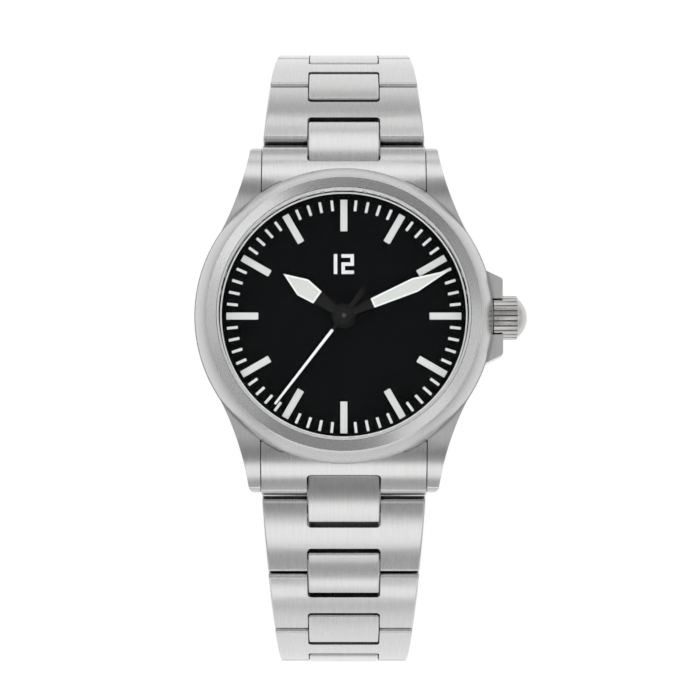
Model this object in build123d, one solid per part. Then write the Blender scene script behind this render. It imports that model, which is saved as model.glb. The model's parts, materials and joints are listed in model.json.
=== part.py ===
"""Field watch: round steel case, quartz movement, bracelet of H-shaped links and folding clasp.

Millimetres. The origin is the middle of the case back's outer face, +Z points out through the
crystal, +Y to 12 o'clock and +X to the crown. The bracelet hangs in the closed shape in which
the watch is worn.
"""
import os
from math import asin, atan2, cos, degrees, hypot, radians, sin, sqrt, tan

from build123d import *

# Case and back
case_r = 17.9
back_flange_h = 1.6
mid_case_h = 5.6
case_edge_chamfer = 0.5
mid_case_wall = 4.2
movement_bore_r = case_r - mid_case_wall
dial_recess_wall = 2.7
dial_recess_r = case_r - dial_recess_wall
dial_recess_depth = 1.4
back_setback = 2.3
back_r = case_r - back_setback
back_edge_chamfer = 0.5
back_spigot_h = 1.0
back_spigot_wall = 0.9
back_fit = 0.05
wrench_notches = 6
wrench_notch_w = 2.2
wrench_notch_depth = 0.9
wrench_notch_h = 0.6
back_gasket_setback = 3.2
back_gasket_r = case_r - back_gasket_setback
back_gasket_w = 0.6
back_gasket_h = 0.5

# Lugs and crown guards
first_link_w = 19.7
link_to_lug_gap = 0.3
lug_gap = first_link_w + link_to_lug_gap
lug_reach = 3.0
lug_to_lug = 2 * (case_r + lug_reach)
lug_tip_w = 1.35
lug_waist = 0.5
lug_corner_r = 0.55
lug_nose_r = 1.5
lug_proud = 0.08
lug_foot_drop = 0.9
lug_foot_chamfer = 0.7
lug_root_angle = 34.5
recess_setback = 1.7
recess_half_y = case_r - recess_setback
guard_rise = 1.2
guard_x = case_r + guard_rise
guard_half_y = 4.6
guard_slope_x = 2.1
guard_slope_y = 1.0
guard_over_axis = 1.78
guard_under_axis = 2.2
guard_corner_r = 0.45

# Bezel, crystal and rehaut
bezel_setback = 0.1
bezel_r = case_r - bezel_setback
bezel_h = 2.8
bezel_foot_h = 0.2
bezel_slope_w = 1.4
bezel_edge_r = bezel_r - bezel_slope_w
bezel_edge_drop = 0.3
bezel_bulge_h = 0.12
bezel_w = 2.65
bezel_bore_r = bezel_r - bezel_w
crystal_t = 1.95
crystal_chamfer = 0.3
gasket_w = 0.3
gasket_step = 0.35
rehaut_h = 2.0
rehaut_w = 0.62
rehaut_r = bezel_bore_r - rehaut_w
rehaut_foot_w = 0.4
rehaut_foot_r = bezel_bore_r - rehaut_foot_w
rehaut_lip_h = 0.2
dial_t = 0.4
dial_fit = 0.1

# Dial marks
dial_edge_gap = 0.43
marker_outer_r = rehaut_r - dial_edge_gap
marker_l = 3.83
marker_w = 0.85
marker_t = 0.22
tick_l = 1.3
tick_w = 0.33
print_t = 0.04
numeral_h = 2.4
numeral_w = 1.5
numeral_stroke = 0.42
numeral_gap = 0.5
numeral_y = 6.3
marks_per_turn = 60
marks_per_hour = 5

# Hands, from the middle out, and their angles clockwise from 12
hour_angle = 304.9
hour_tip = 8.86
hour_lume_start = 3.85
hour_lume_w = 1.75
hour_wide_at = 6.0
hour_wide_w = 2.3
hour_stem_w = 1.0
hour_hub_r = 1.45
minute_angle = 66.7
minute_tip_gap = 0.2
minute_tip = marker_outer_r - minute_tip_gap
minute_lume_start = 3.74
minute_lume_w = 1.2
minute_wide_at = 9.3
minute_wide_w = 1.75
minute_stem_w = 0.7
minute_hub_r = 1.2
seconds_angle = 217.6
seconds_tip_gap = 0.64
seconds_tip = marker_outer_r - seconds_tip_gap
seconds_root_w = 0.4
seconds_tip_w = 0.3
seconds_tail = 4.0
seconds_tail_w = 0.6
seconds_hub_r = 1.05
hand_t = 0.2
hand_gap = 0.2
hand_frame_w = 0.22
lume_inset = 0.04
hour_hand_lift = 0.35
pin_stand = 0.1

# Crown, tube and stem
crown_drop = 1.85
crown_r = 2.65
crown_inner_x = case_r
crown_knurl_l = 2.93
crown_dome_h = 1.25
crown_flutes = 26
crown_flute_r = 0.2
crown_bevel = 0.05
crown_bore_r = 1.35
crown_bore_depth = 2.1
crown_seat = 0.15
tube_r = 1.2
tube_inner_gap = 0.4
tube_inner_x = movement_bore_r + tube_inner_gap
tube_reach = 1.5
tube_outer_x = case_r + tube_reach
stem_r = 0.45
stem_fit = 0.05
stem_neck_r = 0.28
stem_neck_l = 0.7
stem_head_l = 0.5
stem_in_crown = 0.5
crown_travel = 1.2
lever_half_y = 1.0
lever_drop = 1.3
lever_rise = 0.6
lever_play = 0.06
lever_pocket_fit = 0.1

# Movement
holder_w = 1.9
plate_r = movement_bore_r - holder_w
stem_reach = 3.8
stem_inner_x = plate_r - stem_reach
plate_t = 1.5
plate_drop = 0.6
holder_fit = 0.1
bridge_drop = 1.4
bridge_t = 0.3
bridge_r = 3.9
bridge_post_r = 0.45
bridge_post_offset = 3.3
battery_r = (plate_r - bridge_r) / 2
battery_t = 2.1
battery_fit = 0.1
battery_sink = 0.5
battery_edge_gap = 0.65
battery_away = plate_r - battery_r - battery_edge_gap
battery_angle = 150.0
coil_r = 0.9
coil_l = 9.0
coil_cheek = 0.5
coil_cheek_extra = 0.04
coil_setback = 4.2
coil_away = plate_r - coil_setback
coil_angle = 60.0
seconds_arbor_r = 0.25
cannon_r = 0.55
hour_tube_r = 0.95
arbor_r = 0.2
arbor_fit = 0.05
wheel_t = 0.2
end_shake = 0.05
centre_module = 0.09
centre_teeth = 64
third_pinion_teeth = 8
third_teeth = 60
seconds_pinion_teeth = 8
seconds_module = 0.085
seconds_teeth = 60
third_angle = -40.0
cannon_module = 0.13
cannon_teeth = 12
minute_wheel_teeth = 48
minute_pinion_teeth = 10
hour_wheel_teeth = 30
minute_wheel_angle = 100.0
minute_post_r = 0.35

# Bracelet
pin_r = 0.5
pin_fit = 0.03
pin_inset = 0.4
centre_pin_span = 3.6
outer_pin_span = 6.4
centre_w = 8.7
centre_end = 1.3
centre_gap = 0.45
centre_side_gap = 0.1
link_inner_t = 1.45
link_outer_t = 1.55
centre_crown_r = 18.0
outer_crown_r = 27.0
arm_gap = 0.1
arm_relief_angle = 20.0
link_edge_r = 0.22
link_end_r = 0.3
outer_end_r = 0.55
notch_corner_r = 0.5
link_taper = 1.3
clasp_w = 16.0
link_count_12 = 6
link_count_6 = 6

# End links and spring bars
first_pin_reach = 1.7
first_pin_y = case_r + first_pin_reach
first_pin_z = 2.6
end_link_gap = 0.1
end_link_back_gap = 0.15
end_link_top_r = 12.8
end_link_top_drop = 0.1
end_link_nose_r = 1.65
end_link_notch_angle = 25.0
end_link_notch_gap = 0.3
spring_bar_setback = 0.6
spring_bar_y = case_r - spring_bar_setback
spring_bar_z = 4.0
spring_bar_r = 0.75
spring_tip_r = 0.4
spring_tip_l = 0.75
spring_bar_fit = 0.03

# Clasp, along its length from the 6 o'clock end
clasp_span = 40.0
cover_wall = 0.9
cover_top_t = 0.8
cover_rise = 0.35
cover_crown = 0.4
cover_skirt = 1.3
cover_end_gap = 0.15
cover_far_end = 0.9
cover_lip = 0.5
blade_t = 0.7
blade_half_w = 6.0
blade_gap = 0.55
blade_knuckle_r = 1.0
blade_knuckle_half_w = 2.8
knuckle_gap = 0.15
knuckle_clear = 0.25
clasp_pin_r = 0.35
cover_pin_r = 0.3
cover_knuckle_r = 0.58
inner_hinge_u = 6.5
cover_hinge_back = 4.0
tongue_r = 1.3
blade_end_gap = 0.5
blade_slot_w = 5.0
blade_slot_end = 5.0
button_back = 8.0
button_r = 0.85
button_fit = 0.04
button_head_r = 1.35
button_head_t = 0.7
button_flange_t = 0.3
button_flange_r = 1.05
button_travel = 0.6
button_play = 0.05
button_drop = 0.2

# How the bracelet hangs: degrees below the horizontal, centre link and H-link in turn
worn_angles_12 = [26.0, 39.0, 49.5, 60.0, 70.0, 80.0]
worn_angles_6 = [24.0, 30.0, 39.5, 49.0, 58.5, 68.0]

overrun = 1.0
closing_rounds = 40

case_bottom_z = back_flange_h
case_top_z = case_bottom_z + mid_case_h
ledge_z = case_top_z - dial_recess_depth
dial_z = ledge_z + dial_t
rehaut_top_z = dial_z + rehaut_h
bezel_top_z = case_top_z + bezel_h
crown_z = dial_z - crown_drop
plate_top_z = ledge_z - plate_drop
plate_z = plate_top_z - plate_t
centre_share = 0.5


def disc(radius, bottom, top):
    """An upright cylinder on the watch's axis, from one height to another."""
    height = top - bottom
    return Pos(0, 0, bottom) * Cylinder(radius, height, align=(Align.CENTER, Align.CENTER, Align.MIN))


def ring(outer, inner, bottom, top):
    return disc(outer, bottom, top) - disc(inner, bottom - overrun, top + overrun)


def turned(points):
    """A body turned about the watch's axis from radius and height pairs."""
    return revolve(Plane.XZ * make_face(Polyline(*points, close=True)), Axis.Z)


def rod_x(radius, start, end, y=0.0, z=0.0):
    """A cylinder along X."""
    middle = (start + end) * centre_share
    return Pos(middle, y, z) * Rot(0, 90, 0) * Cylinder(radius, end - start)


def block(x0, x1, y0, y1, z0, z1):
    size = (x1 - x0, y1 - y0, z1 - z0)
    middle = ((x0 + x1) * centre_share, (y0 + y1) * centre_share, (z0 + z1) * centre_share)
    return Pos(*middle) * Box(*size)


def across(profile, half_width):
    """A profile drawn in Y and Z, pulled out to both sides along X."""
    return extrude(Plane.YZ * profile, half_width, both=True)


def polar(radius, angle):
    return radius * cos(radians(angle)), radius * sin(radians(angle))


def four_fold(solid):
    halves = [solid, mirror(solid, Plane.YZ)]
    return halves + [Rot(0, 0, 180) * half for half in halves]


def save(node, *solids):
    """One file per node; a node of several pieces keeps them as separate solids."""
    pieces = [piece for solid in solids for piece in solid.solids()]
    shape = pieces[0] if len(pieces) == 1 else Compound(children=pieces)
    export_step(shape, "parts/" + node + ".step")


# Arc that the tops of the end links and lugs share, seen from the side
top_arc_z = case_top_z - end_link_top_drop - end_link_top_r
top_arc_reach = end_link_top_r - end_link_nose_r
top_arc_y = first_pin_y - sqrt(top_arc_reach**2 - (first_pin_z - top_arc_z) ** 2)


def arc_point(radius, angle):
    """A point on a circle about the shared arc's centre; angle from +Z towards +Y."""
    return top_arc_y + radius * sin(angle), top_arc_z + radius * cos(angle)


def nose_profile(top_r, nose, nose_r, back_y, foot):
    """Side outline of a lug or end link: flat top, long arc, round nose, then the foot points."""
    fall = atan2(nose[0] - top_arc_y, nose[1] - top_arc_z)
    meet = arc_point(top_r, fall)
    half_nose = (fall + radians(90)) * centre_share
    around = (nose[0] + nose_r * sin(half_nose), nose[1] + nose_r * cos(half_nose))
    tip = (nose[0] + nose_r, nose[1])
    top = Line((back_y, top_arc_z + top_r), arc_point(top_r, 0))
    long_arc = ThreePointArc(arc_point(top_r, 0), arc_point(top_r, fall * centre_share), meet)
    nose_arc = ThreePointArc(meet, around, tip)
    outline = [top, long_arc, nose_arc]
    corners = [tip] + foot + [(back_y, top_arc_z + top_r)]
    outline += [Line(a, b) for a, b in zip(corners, corners[1:]) if a != b]
    return make_face(Wire(outline))


def make_lug():
    root = polar(case_r, lug_root_angle)
    tip = (lug_gap / 2 + lug_tip_w, lug_to_lug / 2)
    chord = (tip[0] - root[0], tip[1] - root[1])
    length = hypot(*chord)
    waist = (
        (root[0] + tip[0]) / 2 - lug_waist * chord[1] / length,
        (root[1] + tip[1]) / 2 + lug_waist * chord[0] / length,
    )
    inner_tip = (lug_gap / 2, tip[1])
    inner_root = (lug_gap / 2, root[1])
    flank = ThreePointArc(root, waist, tip)
    sides = [Line(tip, inner_tip), Line(inner_tip, inner_root), Line(inner_root, root)]
    plan = make_face(Wire([flank] + sides))
    corner = plan.vertices().sort_by_distance((tip[0], tip[1], 0))[0]
    plan = fillet(corner, lug_corner_r)

    top_r = end_link_top_r + lug_proud
    nose_y = lug_to_lug / 2 - lug_nose_r
    nose_z = top_arc_z + sqrt((top_r - lug_nose_r) ** 2 - (nose_y - top_arc_y) ** 2)
    foot_z = case_bottom_z - lug_foot_drop
    foot = [
        (lug_to_lug / 2, foot_z + lug_foot_chamfer),
        (lug_to_lug / 2 - lug_foot_chamfer, foot_z),
        (case_r - lug_nose_r, case_bottom_z),
        (root[1], case_bottom_z),
    ]
    side = nose_profile(top_r, (nose_y, nose_z), lug_nose_r, root[1], foot)
    tall = extrude(plan, case_top_z + overrun)
    lug = tall & across(side, case_r)
    return lug - rod_x(spring_tip_r + spring_bar_fit, lug_gap / 2 - overrun,
                       lug_gap / 2 + spring_tip_l + end_link_gap, spring_bar_y, spring_bar_z)


def make_guards():
    slope_x = guard_x - guard_slope_x
    slope_y = guard_half_y + guard_slope_y
    inside_x = tube_inner_x
    half = [(inside_x, slope_y), (slope_x, slope_y), (guard_x, guard_half_y)]
    outline = half + [(x, -y) for x, y in reversed(half)]
    plan = make_face(Polyline(*outline, close=True))
    corners = plan.vertices().group_by(Axis.X)[-1]
    plan = fillet(corners, guard_corner_r)
    height = guard_over_axis + guard_under_axis
    guards = Pos(0, 0, crown_z - guard_under_axis) * extrude(plan, height)
    return guards


def make_case():
    body = disc(case_r, case_bottom_z, case_top_z)
    body = chamfer(body.edges().group_by(Axis.Z)[0], case_edge_chamfer)
    for side in (1, -1):
        near, far = sorted((side * recess_half_y, side * (case_r + overrun)))
        body = body - block(-lug_gap / 2, lug_gap / 2, near, far, 0, case_top_z + overrun)
    body = body + make_guards()
    notch = rod_x(crown_r + crown_seat, crown_inner_x - crown_seat, guard_x + overrun, 0, crown_z)
    body = body - notch
    body = body - disc(movement_bore_r, 0, case_top_z + overrun)
    body = body - disc(dial_recess_r, ledge_z, case_top_z + overrun)
    groove = ring(back_gasket_r + back_gasket_w / 2, back_gasket_r - back_gasket_w / 2,
                  case_bottom_z, case_bottom_z + back_gasket_h)
    body = body - groove
    body = body - rod_x(tube_r, movement_bore_r - overrun, crown_inner_x, 0, crown_z)
    lug = make_lug() - disc(dial_recess_r, 0, case_top_z + overrun)
    for copy in four_fold(lug):
        body = body + copy
    return body


def make_bezel():
    edge_z = bezel_top_z - bezel_edge_drop
    foot_z = case_top_z + bezel_foot_h
    slope = hypot(bezel_r - bezel_edge_r, edge_z - foot_z)
    bulge = (
        (bezel_r + bezel_edge_r) / 2 + bezel_bulge_h * (edge_z - foot_z) / slope,
        (foot_z + edge_z) / 2 + bezel_bulge_h * (bezel_r - bezel_edge_r) / slope,
    )
    outer = ThreePointArc((bezel_r, foot_z), bulge, (bezel_edge_r, edge_z))
    corners = [(bezel_edge_r, edge_z), (bezel_bore_r, bezel_top_z), (bezel_bore_r, case_top_z),
               (bezel_r, case_top_z), (bezel_r, foot_z)]
    lines = [Line(a, b) for a, b in zip(corners, corners[1:])]
    return revolve(Plane.XZ * make_face(Wire([outer] + lines)), Axis.Z)


def make_crystal():
    radius = bezel_bore_r - gasket_w
    glass = disc(radius, rehaut_top_z, rehaut_top_z + crystal_t)
    return chamfer(glass.edges().group_by(Axis.Z)[-1], crystal_chamfer)


def make_rehaut():
    """Polished ring between dial and crystal, leaning out a little towards the dial."""
    return turned([(rehaut_foot_r, dial_z), (bezel_bore_r, dial_z), (bezel_bore_r, rehaut_top_z),
                   (rehaut_r, rehaut_top_z), (rehaut_r, rehaut_top_z - rehaut_lip_h)])


def make_back():
    flange = disc(back_r, 0, case_bottom_z)
    flange = chamfer(flange.edges().group_by(Axis.Z)[0], back_edge_chamfer)
    spigot_r = movement_bore_r - back_fit
    back = flange + ring(spigot_r, spigot_r - back_spigot_wall, case_bottom_z - back_fit,
                         case_bottom_z + back_spigot_h)
    for count in range(wrench_notches):
        cut = block(back_r - wrench_notch_depth, back_r + overrun, -wrench_notch_w / 2, wrench_notch_w / 2,
                    -overrun, wrench_notch_h)
        back = back - Rot(0, 0, 360 * count / wrench_notches) * cut
    return back


def save_case():
    save("case_body", make_case())
    save("bezel", make_bezel())
    save("crystal", make_crystal())
    save("rehaut_ring", make_rehaut())
    save("case_back", make_back())
    crystal_gasket = ring(bezel_bore_r, bezel_bore_r - gasket_w, rehaut_top_z, bezel_top_z - gasket_step)
    back_gasket = ring(back_gasket_r + back_gasket_w / 2, back_gasket_r - back_gasket_w / 2,
                       case_bottom_z, case_bottom_z + back_gasket_h)
    save("crystal_and_back_gaskets", crystal_gasket, back_gasket)


def radial_block(inner, outer, width, bottom, top, turn):
    return Rot(0, 0, -turn) * block(-width / 2, width / 2, inner, outer, bottom, top)


def make_numerals():
    """A plain 12, drawn with straight strokes."""
    low = numeral_y - numeral_h / 2
    high = numeral_y + numeral_h / 2
    half = numeral_stroke / 2
    top = dial_z + print_t
    one_x = -(numeral_gap + numeral_stroke) / 2
    one = block(one_x - half, one_x + half, low, high, dial_z, top)
    left = numeral_gap / 2
    right = left + numeral_w
    two = block(left, right, high - numeral_stroke, high, dial_z, top)
    two += block(left, right, numeral_y - half, numeral_y + half, dial_z, top)
    two += block(left, right, low, low + numeral_stroke, dial_z, top)
    two += block(right - numeral_stroke, right, numeral_y, high, dial_z, top)
    two += block(left, left + numeral_stroke, low, numeral_y, dial_z, top)
    shift = (one_x - half + right) / 2
    return [Pos(-shift, 0, 0) * digit for digit in (one, two)]


def save_dial():
    dial = disc(dial_recess_r - dial_fit, ledge_z, dial_z)
    dial = dial - disc(hour_tube_r + dial_fit, ledge_z - overrun, dial_z + overrun)
    save("dial", dial)
    step = 360 / marks_per_turn
    markers = []
    ticks = make_numerals()
    for mark in range(marks_per_turn):
        turn = mark * step
        if mark % marks_per_hour == 0:
            inner = marker_outer_r - marker_l
            top = dial_z + marker_t
            markers.append(radial_block(inner, marker_outer_r, marker_w, dial_z, top, turn))
        else:
            inner = marker_outer_r - tick_l
            ticks.append(radial_block(inner, marker_outer_r, tick_w, dial_z, dial_z + print_t, turn))
    save("hour_markers", *markers)
    save("dial_print", *ticks)


hour_hand_z = dial_z + hour_hand_lift
minute_hand_z = hour_hand_z + hand_t + hand_gap
seconds_hand_z = minute_hand_z + hand_t + hand_gap
seconds_pin_z = seconds_hand_z + hand_t + pin_stand


def make_hand(tip, lume_start, lume_w, wide_at, wide_w, stem_w, hub_r, bore_r, bottom, angle):
    """A pointed hand and the lume that fills its window."""
    blade_points = [(-lume_w / 2, lume_start), (-wide_w / 2, wide_at), (0, tip), (wide_w / 2, wide_at),
                    (lume_w / 2, lume_start)]
    stem_points = [(-stem_w / 2, 0), (-lume_w / 2, lume_start), (lume_w / 2, lume_start), (stem_w / 2, 0)]
    blade = make_face(Polyline(*blade_points, close=True))
    stem = make_face(Polyline(*stem_points, close=True))
    window = offset(blade, -hand_frame_w, kind=Kind.INTERSECTION)
    turn = Pos(0, 0, bottom) * Rot(0, 0, -angle)
    solid = extrude(blade - window, hand_t) + extrude(stem, hand_t) + disc(hub_r, 0, hand_t)
    solid = solid - disc(bore_r, -overrun, hand_t + overrun)
    lume = extrude(window, hand_t - lume_inset)
    return turn * solid, turn * lume


def make_seconds_hand():
    half = [(seconds_tip_w / 2, seconds_tip), (seconds_root_w / 2, 0), (seconds_tail_w / 2, -seconds_tail)]
    outline = half + [(-x, y) for x, y in reversed(half)]
    needle = extrude(make_face(Polyline(*outline, close=True)), hand_t)
    solid = needle + disc(seconds_hub_r, 0, hand_t) - disc(seconds_arbor_r, -overrun, hand_t + overrun)
    return Pos(0, 0, seconds_hand_z) * Rot(0, 0, -seconds_angle) * solid


def save_hands():
    hour, hour_lume = make_hand(hour_tip, hour_lume_start, hour_lume_w, hour_wide_at, hour_wide_w,
                                hour_stem_w, hour_hub_r, hour_tube_r, hour_hand_z, hour_angle)
    minute, minute_lume = make_hand(minute_tip, minute_lume_start, minute_lume_w, minute_wide_at,
                                    minute_wide_w, minute_stem_w, minute_hub_r, cannon_r,
                                    minute_hand_z, minute_angle)
    save("hour_hand", hour)
    save("hour_hand_lume", hour_lume)
    save("minute_hand", minute)
    save("minute_hand_lume", minute_lume)
    save("seconds_hand", make_seconds_hand())


# Tooth shape, as shares of the module and of the angle from tooth to tooth
tooth_root_share = 1.2
tooth_tip_share = 0.9
tooth_foot_share = 0.29
tooth_crest_share = 0.12


def toothed(module, teeth, bottom, top, toward=0.0, gap_there=False):
    """A toothed disc with a tooth, or a gap, at the angle given."""
    pitch_r = module * teeth / 2
    step = 360 / teeth
    first = toward + (step / 2 if gap_there else 0)
    points = []
    for tooth in range(teeth):
        middle = first + tooth * step
        points.append(polar(pitch_r - tooth_root_share * module, middle - tooth_foot_share * step))
        points.append(polar(pitch_r + tooth_tip_share * module, middle - tooth_crest_share * step))
        points.append(polar(pitch_r + tooth_tip_share * module, middle + tooth_crest_share * step))
        points.append(polar(pitch_r - tooth_root_share * module, middle + tooth_foot_share * step))
    return Pos(0, 0, bottom) * extrude(make_face(Polyline(*points, close=True)), top - bottom)


# Heights of the train, from the bridge up to the plate, and of the motion work under the dial
bridge_z = plate_z - bridge_drop - bridge_t
bridge_top_z = bridge_z + bridge_t
seconds_wheel_z = bridge_top_z + end_shake
third_wheel_z = seconds_wheel_z + wheel_t + 2 * end_shake
centre_wheel_z = third_wheel_z + 2 * wheel_t
motion_z = plate_top_z + end_shake / 2
hour_wheel_z = motion_z + wheel_t + end_shake
train_distance = centre_module * (centre_teeth + third_pinion_teeth) / 2
third_module = 2 * train_distance / (third_teeth + seconds_pinion_teeth)
motion_distance = cannon_module * (cannon_teeth + minute_wheel_teeth) / 2
hour_module = 2 * motion_distance / (minute_pinion_teeth + hour_wheel_teeth)
third_place = polar(train_distance, third_angle)
minute_place = polar(motion_distance, minute_wheel_angle)


def save_wheels():
    arbor = disc(seconds_arbor_r, bridge_top_z + end_shake / 2, seconds_pin_z)
    wheel = toothed(seconds_module, seconds_teeth, seconds_wheel_z, seconds_wheel_z + wheel_t)
    pinion = toothed(third_module, seconds_pinion_teeth, seconds_wheel_z + wheel_t,
                     third_wheel_z + wheel_t + end_shake, third_angle)
    save("seconds_wheel", arbor + wheel + pinion)

    bore = disc(seconds_arbor_r + arbor_fit, 0, bezel_top_z)
    tube = disc(cannon_r, centre_wheel_z, minute_hand_z + hand_t)
    centre = toothed(centre_module, centre_teeth, centre_wheel_z, centre_wheel_z + wheel_t, third_angle)
    cannon = toothed(cannon_module, cannon_teeth, motion_z, motion_z + wheel_t, minute_wheel_angle)
    save("cannon_pinion", tube + centre + cannon - bore)

    back = third_angle + 180
    third = disc(arbor_r, bridge_top_z + end_shake / 2, plate_z - end_shake / 2)
    third += toothed(third_module, third_teeth, third_wheel_z, third_wheel_z + wheel_t, back, True)
    third += toothed(centre_module, third_pinion_teeth, third_wheel_z + wheel_t,
                     centre_wheel_z + wheel_t + end_shake, back, True)
    save("third_wheel", Pos(*third_place, 0) * third)

    back = minute_wheel_angle + 180
    minute = toothed(cannon_module, minute_wheel_teeth, motion_z, motion_z + wheel_t, back, True)
    minute += toothed(hour_module, minute_pinion_teeth, motion_z + wheel_t, hour_wheel_z + wheel_t, back)
    minute = minute - disc(minute_post_r + arbor_fit, 0, dial_z)
    save("minute_wheel", Pos(*minute_place, 0) * minute)

    hour = toothed(hour_module, hour_wheel_teeth, hour_wheel_z, hour_wheel_z + wheel_t,
                   minute_wheel_angle, True)
    hour += disc(hour_tube_r, hour_wheel_z, hour_hand_z + hand_t)
    save("hour_wheel", hour - disc(cannon_r + arbor_fit, 0, bezel_top_z))


def save_movement():
    battery_place = polar(battery_away, battery_angle)
    plate = disc(plate_r, plate_z, plate_top_z)
    plate = plate - disc(cannon_r + arbor_fit, plate_z - overrun, plate_top_z + overrun)
    plate = plate - Pos(*battery_place, 0) * disc(battery_r + battery_fit, 0, plate_z + battery_sink)
    plate = plate - rod_x(stem_r + stem_fit, stem_inner_x, plate_r + overrun, 0, crown_z)
    pocket_x = stem_inner_x - lever_pocket_fit
    pocket_end = stem_inner_x + stem_head_l + stem_neck_l + crown_travel + lever_pocket_fit
    pocket_top = crown_z + lever_rise + lever_pocket_fit
    pocket_half = lever_half_y + lever_pocket_fit
    plate = plate - block(pocket_x, pocket_end, -pocket_half, pocket_half, 0, pocket_top)
    post = Pos(*minute_place, 0) * disc(minute_post_r, plate_top_z, ledge_z - end_shake)
    save("main_plate", plate + post)

    holder_foot_z = case_bottom_z + back_spigot_h + back_fit
    holder = ring(movement_bore_r - back_fit, plate_r + holder_fit, holder_foot_z, ledge_z - back_fit)
    holder = holder - rod_x(tube_r, plate_r, movement_bore_r, 0, crown_z)
    save("movement_holder", holder)

    middle = Pos(third_place[0] / 2, third_place[1] / 2, 0)
    bridge = disc(bridge_r, bridge_z, bridge_top_z)
    for side in (1, -1):
        post = disc(bridge_post_r, bridge_z, plate_z)
        bridge += Pos(*polar(side * bridge_post_offset, third_angle + 90), 0) * post
    save("train_bridge", middle * bridge)

    battery_top = plate_z + battery_sink - end_shake
    save("battery", Pos(*battery_place, 0) * disc(battery_r, battery_top - battery_t, battery_top))

    cheek_r = coil_r + coil_cheek_extra
    coil_z = plate_z - cheek_r
    coil = rod_x(coil_r, -coil_l / 2, coil_l / 2)
    for side in (1, -1):
        near, far = sorted((side * coil_l / 2, side * (coil_l / 2 - coil_cheek)))
        coil += block(near, far, -cheek_r, cheek_r, -cheek_r, cheek_r)
    place = Pos(*polar(coil_away, coil_angle), coil_z) * Rot(0, 0, coil_angle + 90)
    save("motor_coil", place * coil)


def make_crown():
    """Domed crown; its flutes run out in the bevel before the dome."""
    barrel_end = crown_inner_x + crown_knurl_l
    dome_foot_r = crown_r - crown_flute_r - crown_bevel
    tip_x = barrel_end + crown_dome_h
    dome_r = (dome_foot_r**2 + crown_dome_h**2) / (2 * crown_dome_h)
    half_fall = asin(dome_foot_r / dome_r) / 2
    shoulder = (tip_x - dome_r + dome_r * cos(half_fall), dome_r * sin(half_fall))
    dome = ThreePointArc((barrel_end, dome_foot_r), shoulder, (tip_x, 0))
    corners = [(tip_x, 0), (crown_inner_x, 0), (crown_inner_x, crown_r),
               (barrel_end - crown_flute_r - crown_bevel, crown_r), (barrel_end, dome_foot_r)]
    lines = [Line(a, b) for a, b in zip(corners, corners[1:])]
    body = revolve(make_face(Wire([dome] + lines)), Axis.X)
    section = Circle(crown_r)
    for count in range(crown_flutes):
        section = section - Pos(*polar(crown_r, 360 * count / crown_flutes)) * Circle(crown_flute_r)
    fluted = Pos(crown_inner_x, 0, 0) * Rot(0, 90, 0) * extrude(section, tip_x)
    crown = body & fluted
    crown = crown - rod_x(crown_bore_r, crown_inner_x - overrun, crown_inner_x + crown_bore_depth)
    crown = crown - rod_x(stem_r, crown_inner_x, crown_inner_x + crown_bore_depth + stem_in_crown)
    return Pos(0, 0, crown_z) * crown


def save_crown():
    save("crown", make_crown())
    tube = rod_x(tube_r, tube_inner_x, tube_outer_x, 0, crown_z)
    tube = tube - rod_x(stem_r + stem_fit, 0, case_r + tube_outer_x, 0, crown_z)
    save("crown_tube", tube)
    neck_x = stem_inner_x + stem_head_l
    shaft_x = neck_x + stem_neck_l
    stem = rod_x(stem_r, stem_inner_x, neck_x, 0, crown_z) + rod_x(stem_neck_r, neck_x, shaft_x, 0, crown_z)
    stem += rod_x(stem_r, shaft_x, crown_inner_x + crown_bore_depth + stem_in_crown, 0, crown_z)
    save("winding_stem", stem)
    lever = block(neck_x + lever_play, shaft_x - lever_play, -lever_half_y, lever_half_y,
                  crown_z - lever_drop, crown_z + lever_rise)
    lever = lever - rod_x(stem_neck_r + stem_fit, neck_x - overrun, shaft_x + overrun, 0, crown_z)
    save("setting_lever", lever)


def direction(side, angle):
    """Along the bracelet, away from the case, in Y and Z; side is 1 at 12 o'clock, -1 at 6."""
    return side * cos(radians(angle)), -sin(radians(angle))


def normal(side, angle):
    return side * sin(radians(angle)), cos(radians(angle))


def place(side, angle, pin):
    """Where a piece drawn along +Y, outer face up, goes when its first pin is at the point given."""
    up = normal(side, angle)
    return Plane(origin=(0, pin[0], pin[1]), x_dir=(side, 0, 0), z_dir=(0, up[0], up[1])).location


def chain(side, angles):
    """The pins of one half of the bracelet, from the end link out."""
    pins = [(side * first_pin_y, first_pin_z)]
    for count, angle in enumerate(angles):
        span = outer_pin_span if count % 2 else centre_pin_span
        ahead = direction(side, angle)
        pins.append((pins[-1][0] + span * ahead[0], pins[-1][1] + span * ahead[1]))
    return pins


def all_angles(worn, links, turn):
    """Angles that the view gives, then an even turn from pin to pin, behind the wrist."""
    angles = worn[: 2 * links]
    while len(angles) < 2 * links:
        angles = angles + [angles[-1] + turn]
    return angles


def loop_gap(turn):
    end_12 = chain(1, all_angles(worn_angles_12, link_count_12, turn))[-1]
    end_6 = chain(-1, all_angles(worn_angles_6, link_count_6, turn))[-1]
    return hypot(end_12[0] - end_6[0], end_12[1] - end_6[1])


def closing_turn():
    """The even turn at which the clasp just fits between the two ends, found by halving."""
    least, most = 0.0, 30.0
    for _ in range(closing_rounds):
        turn = (least + most) / 2
        if loop_gap(turn) > clasp_span:
            least = turn
        else:
            most = turn
    return turn


turn_behind = closing_turn()
angles_12 = all_angles(worn_angles_12, link_count_12, turn_behind)
angles_6 = all_angles(worn_angles_6, link_count_6, turn_behind)
pins_12 = chain(1, angles_12)
pins_6 = chain(-1, angles_6)
clasp_start = pins_6[-1]
clasp_end = pins_12[-1]
clasp_angle = degrees(atan2(clasp_start[1] - clasp_end[1], clasp_start[0] - clasp_end[0]))


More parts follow.
